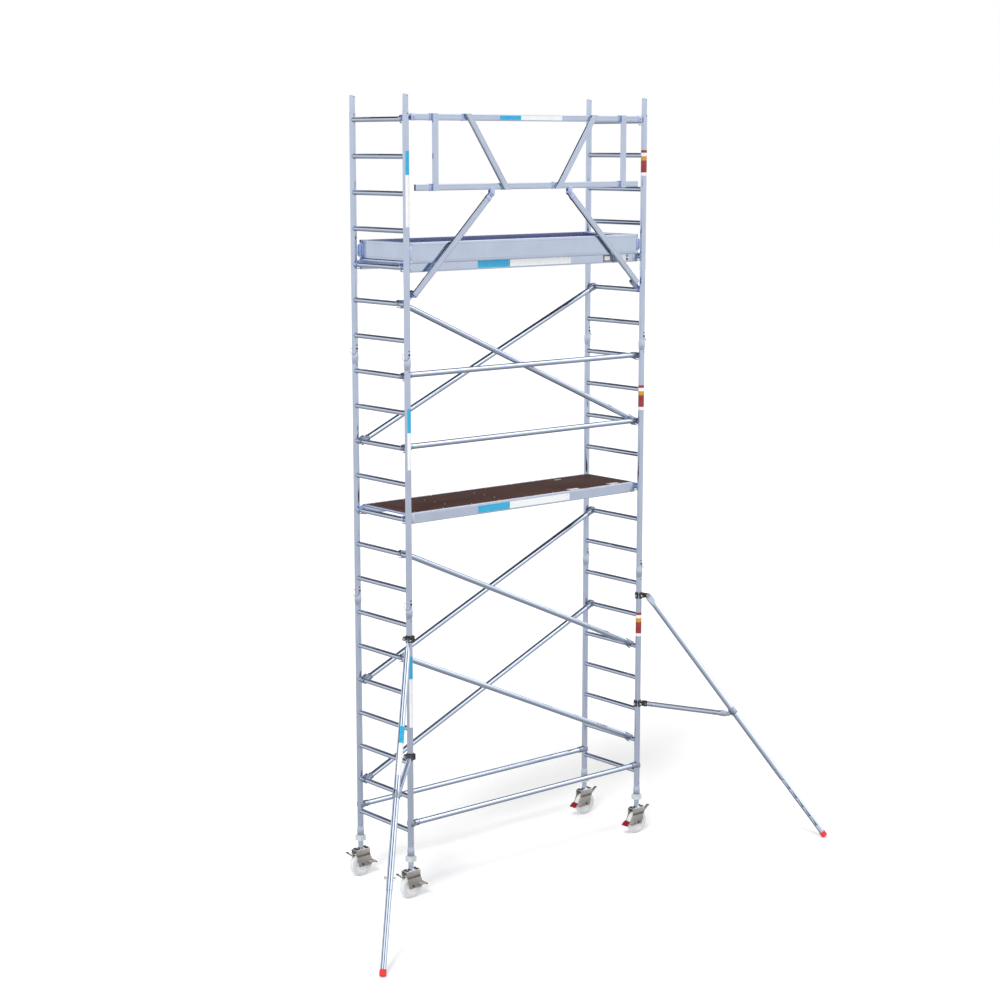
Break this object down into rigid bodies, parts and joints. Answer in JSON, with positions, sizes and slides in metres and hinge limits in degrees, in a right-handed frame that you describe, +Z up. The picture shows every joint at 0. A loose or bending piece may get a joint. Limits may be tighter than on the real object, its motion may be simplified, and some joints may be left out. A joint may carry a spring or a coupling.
{
  "type": "mobile tower scaffold",
  "caption": "Aluminium mobile access tower with ladder frames, claw braces, trapdoor platforms, toe boards, front guardrail, stabilisers and braked castors.",
  "frame": {"origin": "on the floor, under the middle of the bounding box", "axes": "+Z up; +X along the platforms, from the left frames to the right ones; +Y from the front, where the stabilisers and the guardrail are, to the back"},
  "size_m": [4.8714, 1.9017, 6.343],
  "materials": {
    "aluminium": "bright drawn tube with faint lengthwise lines",
    "cast_aluminium": "grainy cast claws and brackets",
    "deck_board": "film-faced plywood, fine non-slip print",
    "black_steel": "black coated couplers",
    "bright_steel": "zinc plated bolts, pins and springs",
    "castor_steel": "yellowish zinc on pressed steel",
    "white_nylon": "satin, slightly cloudy nylon",
    "red_rubber": "matt rubber boot",
    "red_plastic": "satin pedal cover",
    "black_plastic": "matt end caps",
    "white_film": "blank self-adhesive film",
    "cyan_film": "blank self-adhesive film",
    "red_film": "blank self-adhesive film",
    "yellow_film": "blank self-adhesive film"
  },
  "bodies": {
    "tower": {"left_frame_lower": "aluminium", "left_frame_middle": "aluminium", "left_frame_upper": "aluminium", "right_frame_lower": "aluminium", "right_frame_middle": "aluminium", "right_frame_upper": "aluminium", "back_diagonal_lower": "aluminium", "back_diagonal_middle": "aluminium", "back_diagonal_upper": "aluminium", "front_diagonal_lower": "aluminium", "front_diagonal_middle": "aluminium", "front_diagonal_upper": "aluminium", "base_horizontal_front": "aluminium", "base_horizontal_back": "aluminium", "front_horizontal_lower": "aluminium", "front_horizontal_upper": "aluminium", "lower_platform_frame": "aluminium", "upper_platform_frame": "aluminium", "lower_platform_deck": "deck_board", "upper_platform_deck": "deck_board", "toe_board_front": "aluminium", "toe_board_back": "aluminium", "toe_board_left": "aluminium", "toe_board_right": "aluminium", "guardrail_frame": "aluminium"},
    "lower_hatch": {"lower_hatch": "deck_board"},
    "upper_hatch": {"upper_hatch": "deck_board"},
    "left_guardrail_strut": {"left_guardrail_strut": "aluminium"},
    "right_guardrail_strut": {"right_guardrail_strut": "aluminium"},
    "left_stabiliser": {"left_stabiliser_tube": "aluminium", "left_stabiliser_brace": "aluminium", "left_stabiliser_clamp": "black_steel"},
    "left_stabiliser_leg": {"left_stabiliser_leg": "aluminium", "left_stabiliser_foot": "red_rubber"},
    "right_stabiliser": {"right_stabiliser_tube": "aluminium", "right_stabiliser_brace": "aluminium", "right_stabiliser_clamp": "black_steel"},
    "right_stabiliser_leg": {"right_stabiliser_leg": "aluminium", "right_stabiliser_foot": "red_rubber"},
    "left_front_leg": {"left_front_leg_spindle": "aluminium"},
    "left_front_nut": {"left_front_leg_nut": "white_nylon"},
    "left_front_fork": {"left_front_castor_fork": "castor_steel"},
    "left_front_wheel": {"left_front_castor_wheel": "white_nylon"},
    "left_front_pedal": {"left_front_brake_pedal": "red_plastic"},
    "left_back_leg": {"left_back_leg_spindle": "aluminium"},
    "left_back_nut": {"left_back_leg_nut": "white_nylon"},
    "left_back_fork": {"left_back_castor_fork": "castor_steel"},
    "left_back_wheel": {"left_back_castor_wheel": "white_nylon"},
    "left_back_pedal": {"left_back_brake_pedal": "red_plastic"},
    "right_front_leg": {"right_front_leg_spindle": "aluminium"},
    "right_front_nut": {"right_front_leg_nut": "white_nylon"},
    "right_front_fork": {"right_front_castor_fork": "castor_steel"},
    "right_front_wheel": {"right_front_castor_wheel": "white_nylon"},
    "right_front_pedal": {"right_front_brake_pedal": "red_plastic"},
    "right_back_leg": {"right_back_leg_spindle": "aluminium"},
    "right_back_nut": {"right_back_leg_nut": "white_nylon"},
    "right_back_fork": {"right_back_castor_fork": "castor_steel"},
    "right_back_wheel": {"right_back_castor_wheel": "white_nylon"},
    "right_back_pedal": {"right_back_brake_pedal": "red_plastic"}
  },
  "joints": [
    {"name": "lower_hatch_hinge", "type": "hinge", "parent": "tower", "child": "lower_hatch", "pos_m": [0.78, 0.31786, 3.12], "axis": [1, 0, 0], "range_deg": [0, 85]},
    {"name": "upper_hatch_hinge", "type": "hinge", "parent": "tower", "child": "upper_hatch", "pos_m": [0.78, 0.31786, 5.08], "axis": [1, 0, 0], "range_deg": [0, 85]},
    {"name": "left_strut_fold", "type": "hinge", "parent": "tower", "child": "left_guardrail_strut", "pos_m": [-0.41, 0.22886, 5.585], "axis": [0, 1, 0], "range_deg": [-45, 0]},
    {"name": "right_strut_fold", "type": "hinge", "parent": "tower", "child": "right_guardrail_strut", "pos_m": [0.41, 0.22886, 5.585], "axis": [0, 1, 0], "range_deg": [0, 45]},
    {"name": "left_stabiliser_swing", "type": "hinge", "parent": "tower", "child": "left_stabiliser", "pos_m": [-1.25, 0.23486, 1.65], "axis": [0, 0, 1], "range_deg": [-45, 45]},
    {"name": "left_stabiliser_extension", "type": "slide", "parent": "left_stabiliser", "child": "left_stabiliser_leg", "axis": [-0.4206, -0.4206, -0.8039], "range_m": [-0.3, 0.3]},
    {"name": "right_stabiliser_swing", "type": "hinge", "parent": "tower", "child": "right_stabiliser", "pos_m": [1.25, 0.23486, 1.65], "axis": [0, 0, 1], "range_deg": [-45, 45]},
    {"name": "right_stabiliser_extension", "type": "slide", "parent": "right_stabiliser", "child": "right_stabiliser_leg", "axis": [0.4206, -0.4206, -0.8039], "range_m": [-0.3, 0.3]},
    {"name": "left_front_leg_height", "type": "slide", "parent": "tower", "child": "left_front_leg", "axis": [0, 0, -1], "range_m": [-0.04, 0.22]},
    {"name": "left_front_nut_turn", "type": "hinge", "parent": "tower", "child": "left_front_nut", "pos_m": [-1.25, 0.23486, 0.325], "axis": [0, 0, 1], "continuous": true},
    {"name": "left_front_castor_swivel", "type": "hinge", "parent": "left_front_leg", "child": "left_front_fork", "pos_m": [-1.25, 0.23486, 0.23], "axis": [0, 0, 1], "continuous": true},
    {"name": "left_front_wheel_roll", "type": "hinge", "parent": "left_front_fork", "child": "left_front_wheel", "pos_m": [-1.25, 0.23486, 0.1], "axis": [0, 1, 0], "continuous": true},
    {"name": "left_front_brake_press", "type": "hinge", "parent": "left_front_fork", "child": "left_front_pedal", "pos_m": [-1.198, 0.23486, 0.107], "axis": [0, 1, 0], "range_deg": [0, 15]},
    {"name": "left_back_leg_height", "type": "slide", "parent": "tower", "child": "left_back_leg", "axis": [0, 0, -1], "range_m": [-0.04, 0.22]},
    {"name": "left_back_nut_turn", "type": "hinge", "parent": "tower", "child": "left_back_nut", "pos_m": [-1.25, 0.91286, 0.325], "axis": [0, 0, 1], "continuous": true},
    {"name": "left_back_castor_swivel", "type": "hinge", "parent": "left_back_leg", "child": "left_back_fork", "pos_m": [-1.25, 0.91286, 0.23], "axis": [0, 0, 1], "continuous": true},
    {"name": "left_back_wheel_roll", "type": "hinge", "parent": "left_back_fork", "child": "left_back_wheel", "pos_m": [-1.25, 0.91286, 0.1], "axis": [0, 1, 0], "continuous": true},
    {"name": "left_back_brake_press", "type": "hinge", "parent": "left_back_fork", "child": "left_back_pedal", "pos_m": [-1.198, 0.91286, 0.107], "axis": [0, 1, 0], "range_deg": [0, 15]},
    {"name": "right_front_leg_height", "type": "slide", "parent": "tower", "child": "right_front_leg", "axis": [0, 0, -1], "range_m": [-0.04, 0.22]},
    {"name": "right_front_nut_turn", "type": "hinge", "parent": "tower", "child": "right_front_nut", "pos_m": [1.25, 0.23486, 0.325], "axis": [0, 0, 1], "continuous": true},
    {"name": "right_front_castor_swivel", "type": "hinge", "parent": "right_front_leg", "child": "right_front_fork", "pos_m": [1.25, 0.23486, 0.23], "axis": [0, 0, 1], "continuous": true},
    {"name": "right_front_wheel_roll", "type": "hinge", "parent": "right_front_fork", "child": "right_front_wheel", "pos_m": [1.25, 0.23486, 0.1], "axis": [0, 1, 0], "continuous": true},
    {"name": "right_front_brake_press", "type": "hinge", "parent": "right_front_fork", "child": "right_front_pedal", "pos_m": [1.198, 0.23486, 0.107], "axis": [0, -1, 0], "range_deg": [0, 15]},
    {"name": "right_back_leg_height", "type": "slide", "parent": "tower", "child": "right_back_leg", "axis": [0, 0, -1], "range_m": [-0.04, 0.22]},
    {"name": "right_back_nut_turn", "type": "hinge", "parent": "tower", "child": "right_back_nut", "pos_m": [1.25, 0.91286, 0.325], "axis": [0, 0, 1], "continuous": true},
    {"name": "right_back_castor_swivel", "type": "hinge", "parent": "right_back_leg", "child": "right_back_fork", "pos_m": [1.25, 0.91286, 0.23], "axis": [0, 0, 1], "continuous": true},
    {"name": "right_back_wheel_roll", "type": "hinge", "parent": "right_back_fork", "child": "right_back_wheel", "pos_m": [1.25, 0.91286, 0.1], "axis": [0, 1, 0], "continuous": true},
    {"name": "right_back_brake_press", "type": "hinge", "parent": "right_back_fork", "child": "right_back_pedal", "pos_m": [1.198, 0.91286, 0.107], "axis": [0, -1, 0], "range_deg": [0, 15]}
  ],
  "couplings": [
    {"joint": "left_front_nut_turn", "follows": "left_front_leg_height", "rad_per_m": 628.32},
    {"joint": "left_back_nut_turn", "follows": "left_back_leg_height", "rad_per_m": 628.32},
    {"joint": "right_front_nut_turn", "follows": "right_front_leg_height", "rad_per_m": 628.32},
    {"joint": "right_back_nut_turn", "follows": "right_back_leg_height", "rad_per_m": 628.32}
  ]
}
